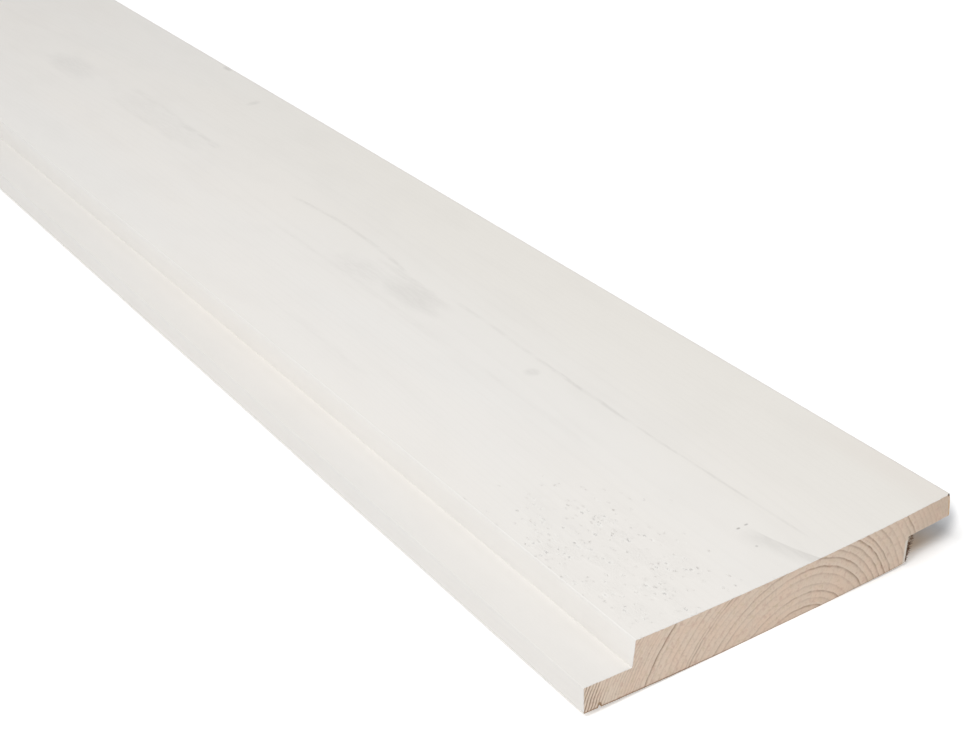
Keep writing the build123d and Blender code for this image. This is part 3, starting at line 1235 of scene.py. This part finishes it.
def end_material(colours, groups):
    """Sawn end grain: rings, faint rays, mottling and saw scratches, a painted highlight along the arris,
    a painted brown shade along the foot and the cut edge of the primer along the painted sides."""
    material, g, place, shader = new_material("Sawn end grain")
    rings = g.group(named(groups, "rings"), place=place)
    x, _, z = g.axes(place)
    mottle = g.noise(g.stretch(place, 1.1, 0.2, 1.1), 4.0, 0.6)
    cloud = g.noise(g.stretch(place, 0.14, 0.1, 0.14, (2.0, 0, 5.0)), 2.0)
    grit = g.noise(g.stretch(place, 5.0, 0.4, 5.0), 2.0, 0.7)
    across_rays = g.times(rings["Turn"], 46.0)
    rays = g.noise(g.place(across_rays, g.times(rings["Reach"], 0.3), 0.0), 4.0, 0.65, 0.4)

    # The wood turns a little darker from the left lap to the right one, partly its own tone and partly
    # painted shade, and is pinker in places
    side = g.span(x, -HALF_WIDTH, HALF_WIDTH, smooth=False)
    left = tinted(colours.earlywood, 1.02, 1.04, 1.05)
    right = tinted(colours.earlywood, 0.91, 0.92, 0.91)
    pinker = tinted(colours.earlywood, 1.02, 0.96, 0.93)
    colour = g.blend(side, left, right)
    colour = g.blend(g.times(g.span(cloud, 0.35, 0.7), 0.6), colour, pinker)
    colour = g.blend(g.times(g.math("POWER", rings["Season"], 2.6), 0.10), colour, colours.latewood)
    # Darker still over the front lap, partly the wood's tone and partly painted shade
    colour = g.blend(g.span(x, 50.0, 68.0, 0.0, 0.14), colour, colours.latewood)

    late, pale = ring_marks(g, groups, rings, x, mottle)
    colour = g.blend(g.times(late, 0.74), colour, colours.latewood)
    colour = g.blend(g.times(pale, 0.5), colour, srgb(236, 220, 204))
    between_rings = g.times(g.span(x, -64.0, -56.0, 1.0, 0.0), g.minus(1.0, late))
    colour = g.blend(g.times(between_rings, 0.4), colour, srgb(236, 222, 204))

    # Rays, blotches, mottling and grit
    dark_rays = g.times(g.span(rays, 0.52, 0.72), g.span(x, 20.0, 55.0, 0.13, 0.06))
    colour = g.blend(dark_rays, colour, colours.latewood)
    colour = g.blend(g.times(g.span(rays, 0.48, 0.3), 0.26), colour, srgb(230, 212, 194))
    blotch = g.noise(g.stretch(place, 0.42, 0.1, 0.42, (8.0, 0, 1.0)), 3.0, 0.6)
    colour = g.blend(g.times(g.span(blotch, 0.52, 0.7), 0.5), colour, srgb(208, 176, 158))
    colour = g.blend(g.times(g.span(blotch, 0.46, 0.3), 0.4), colour, srgb(204, 184, 150))
    colour = g.blend(g.times(g.span(mottle, 0.5, 0.8), 0.18), colour, colours.latewood)
    dark_grit = tinted(colours.latewood, 0.7)
    colour = g.blend(g.times(g.span(grit, 0.55, 0.85), 0.15), colour, dark_grit)
    colour = end_edges(g, colour, place, x, z)
    g.feed(shader.inputs["Base Color"], colour)
    g.feed(shader.inputs["Roughness"], g.times_plus(mottle, 0.2, 0.62))
    shader.inputs["Specular IOR Level"].default_value = 0.25
    saw = g.noise(g.stretch(place, 0.7, 0.1, 6.0), 3.0, 0.6)
    height = g.times_plus(saw, 0.4, g.times(grit, 0.35))
    height = g.minus(height, g.times(late, 0.5))
    g.feed(shader.inputs["Normal"], g.bump(height, 0.00012, 0.6))
    return material


def torn_material():
    """Torn fibre: dark as painted shade, with a pale strand here and there, more of them near the top as
    painted light.
    """
    material, g, place, shader = new_material("Torn fibre")
    _, _, z = g.axes(place)
    streak = g.noise(g.stretch(place, 0.3, 0.3, 2.4), 3.0)
    pale = g.span(g.plus(streak, g.span(z, 3.0, 10.0, -0.15, 0.0)), 0.5, 0.62)
    # Painted shade: the strands are dark as in the shadow under the front lap; the pale ones near the top
    # stand for lit strands
    colour = g.blend(pale, srgb(108, 80, 60), srgb(222, 208, 190))
    g.feed(shader.inputs["Base Color"], colour)
    shader.inputs["Roughness"].default_value = 0.8
    shader.inputs["Specular IOR Level"].default_value = 0.2
    return material


# Floor and sky


def looking(g):
    """1 for the rays that look, from the camera, in a reflection or through glass, and 0 for the rest."""
    rays = g.node("ShaderNodeLightPath").outputs
    return g.larger(rays["Is Camera Ray"], g.larger(rays["Is Glossy Ray"], rays["Is Transmission Ray"]))


def floor_material():
    """White floor that glows a little for the rays that look, more with distance, so that it stays white
    under the lamp's uneven light. Beside the front lap the glow is left out and the floor's colour is a
    painted shadow, darker deeper under the lap, with a painted brown bounce from the bare wood near the
    shoulder and a painted blue of the sky farther out."""
    material = bpy.data.materials.new("White floor")
    material.use_nodes = True
    g = Graph(material.node_tree)
    diffuse = g.node("ShaderNodeBsdfDiffuse")
    glow = g.node("ShaderNodeEmission")
    here = g.node("ShaderNodeTexCoord").outputs["Object"]
    x, y, _ = g.axes(g.stretch(here, 1 / MM, 1 / MM, 1 / MM))
    y = g.minus(y, NEAR_END_Y / MM)
    # The shadow's front edge bends back past the front lap's tip
    past_tip = g.over(g.larger(g.minus(x, HALF_WIDTH), 0.0), 18.0)
    back = g.times_plus(g.times(past_tip, past_tip), -7.0, y)
    shadow = g.times(g.span(back, 1.0, 7.0), g.span(x, 88.0, 101.0, 1.0, 0.0))
    shadow = g.times(shadow, g.span(x, 50.0, 56.0))
    shadow = g.times(shadow, g.span(y, BOARD_LENGTH / MM - 7, BOARD_LENGTH / MM - 1, 1.0, 0.0))
    # Painted shadow: the floor's own colour is darker here, brown near the shoulder and blue farther out
    edge = g.blend(g.span(x, 62.0, 84.0), (0.82, 0.70, 0.58), (0.68, 0.69, 0.71))
    deep = g.blend(g.span(x, 61.0, 78.0), (0.33, 0.21, 0.14), (0.58, 0.62, 0.67))
    shaded = g.blend(g.span(back, 7.0, 17.0), edge, deep)
    g.feed(diffuse.inputs["Color"], g.blend(shadow, (0.9, 0.9, 0.9), shaded))
    near_glow = g.span(x, 0.0, 50.0, 0.42, 0.3)
    level = g.times(g.minus(1.0, shadow), g.span(g.distance(x, y), 200.0, 1500.0, near_glow, 0.68))
    g.feed(glow.inputs["Strength"], g.times(looking(g), level))
    both = g.node("ShaderNodeAddShader")
    g.feed(both.inputs[0], diffuse.outputs[0])
    g.feed(both.inputs[1], glow.outputs[0])
    g.feed(g.node("ShaderNodeOutputMaterial").inputs["Surface"], both.outputs[0])
    return material


def even_sky(level):
    """A white sky of that level, which the rays that look see as plain white."""
    world = bpy.data.worlds.new("Even sky")
    world.use_nodes = True
    g = Graph(world.node_tree)
    sky = g.node("ShaderNodeBackground")
    sky.inputs["Color"].default_value = (1, 1, 1, 1)
    g.feed(sky.inputs["Strength"], g.span(looking(g), 0, 1, level, 1.0, smooth=False))
    g.feed(g.node("ShaderNodeOutputWorld").inputs["Surface"], sky.outputs[0])
    return world


# Operators, one for each piece and one for the stage


class CLADDING_OT_board(bpy.types.Operator):
    """Make the board: its moulded section carried along its length, with sawn ends"""

    bl_idname = "cladding.make_board"
    bl_label = "Board"

    def execute(self, context):
        s = context.scene.cladding_section
        colours = context.scene.cladding_finish
        groups = {}
        materials = [make(colours, groups) for make in (primer_material, bare_material, end_material)]
        vertices, faces, finishes, gaps = board_mesh(s)
        board = new_piece("board", vertices, faces.tolist(), materials, finishes, gaps, crisp_from=32)
        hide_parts(NODE)
        return {"FINISHED"}


class CLADDING_OT_torn_fibres(bpy.types.Operator):
    """Make the torn fibres at the near end of the rebate under the front lap"""

    bl_idname = "cladding.make_torn_fibres"
    bl_label = "Torn fibres"

    def execute(self, context):
        vertices, faces = fibre_mesh(context.scene.cladding_section)
        new_piece("torn_fibres", vertices, faces, [torn_material()])
        return {"FINISHED"}


class CLADDING_OT_stage(bpy.types.Operator):
    """Set up the camera, the white floor and the soft light"""

    bl_idname = "cladding.make_stage"
    bl_label = "Stage"

    def execute(self, context):
        scene = context.scene
        p = scene.cladding_stage
        near_end = Vector((0, NEAR_END_Y, 0))

        camera_data = bpy.data.cameras.new("camera")
        camera_data.sensor_width = 36.0
        camera_data.lens = p.lens
        camera_data.clip_start = 0.01
        camera_data.clip_end = 50.0
        camera = bpy.data.objects.new("camera", camera_data)
        camera.location = near_end + Vector(p.camera_from_end)
        camera.rotation_euler = Euler((radians(90) - p.camera_tilt, 0, -p.camera_turn))
        scene.collection.objects.link(camera)
        scene.camera = camera

        r = FLOOR_REACH
        mesh = bpy.data.meshes.new("floor")
        mesh.from_pydata([(-r, -r, 0), (r, -r, 0), (r, r, 0), (-r, r, 0)], [], [(0, 1, 2, 3)])
        mesh.materials.append(floor_material())
        floor = bpy.data.objects.new("floor", mesh)
        scene.collection.objects.link(floor)
        scene.world = even_sky(p.sky)

        lamp_data = bpy.data.lights.new("key", "AREA")
        lamp_data.shape = "RECTANGLE"
        lamp_data.size, lamp_data.size_y = LAMP_SIZE
        lamp_data.energy = p.key
        lamp = bpy.data.objects.new("key", lamp_data)
        lamp.location = near_end + Vector(LAMP_PLACE)
        aim = near_end + Vector(LAMP_AIM) - lamp.location
        lamp.rotation_euler = aim.to_track_quat("-Z", "Y").to_euler()
        scene.collection.objects.link(lamp)

        scene.view_settings.view_transform = "Standard"
        return {"FINISHED"}


class CLADDING_PT_panel(bpy.types.Panel):
    """The board's pieces and sizes in the sidebar"""

    bl_idname = "CLADDING_PT_panel"
    bl_label = "Rebated cladding board"
    bl_space_type = "VIEW_3D"
    bl_region_type = "UI"
    bl_category = "Cladding"

    def draw(self, context):
        layout = self.layout
        for kind in OPERATORS:
            layout.operator(kind.bl_idname)
        scene = context.scene
        for settings in (scene.cladding_section, scene.cladding_finish, scene.cladding_stage):
            box = layout.box()
            for key in settings.__annotations__:
                box.prop(settings, key)


OPERATORS = (CLADDING_OT_board, CLADDING_OT_torn_fibres, CLADDING_OT_stage)
CLASSES = (CladdingSection, CladdingFinish, CladdingStage, *OPERATORS, CLADDING_PT_panel)


def register():
    for kind in CLASSES:
        bpy.utils.register_class(kind)
    bpy.types.Scene.cladding_section = bpy.props.PointerProperty(type=CladdingSection)
    bpy.types.Scene.cladding_finish = bpy.props.PointerProperty(type=CladdingFinish)
    bpy.types.Scene.cladding_stage = bpy.props.PointerProperty(type=CladdingStage)


def unregister():
    del bpy.types.Scene.cladding_stage
    del bpy.types.Scene.cladding_finish
    del bpy.types.Scene.cladding_section
    for kind in reversed(CLASSES):
        bpy.utils.unregister_class(kind)


def main():
    """Registers the classes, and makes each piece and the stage."""
    register()
    bpy.ops.cladding.make_board()
    bpy.ops.cladding.make_torn_fibres()
    bpy.ops.cladding.make_stage()


if __name__ == "__main__":
    main()
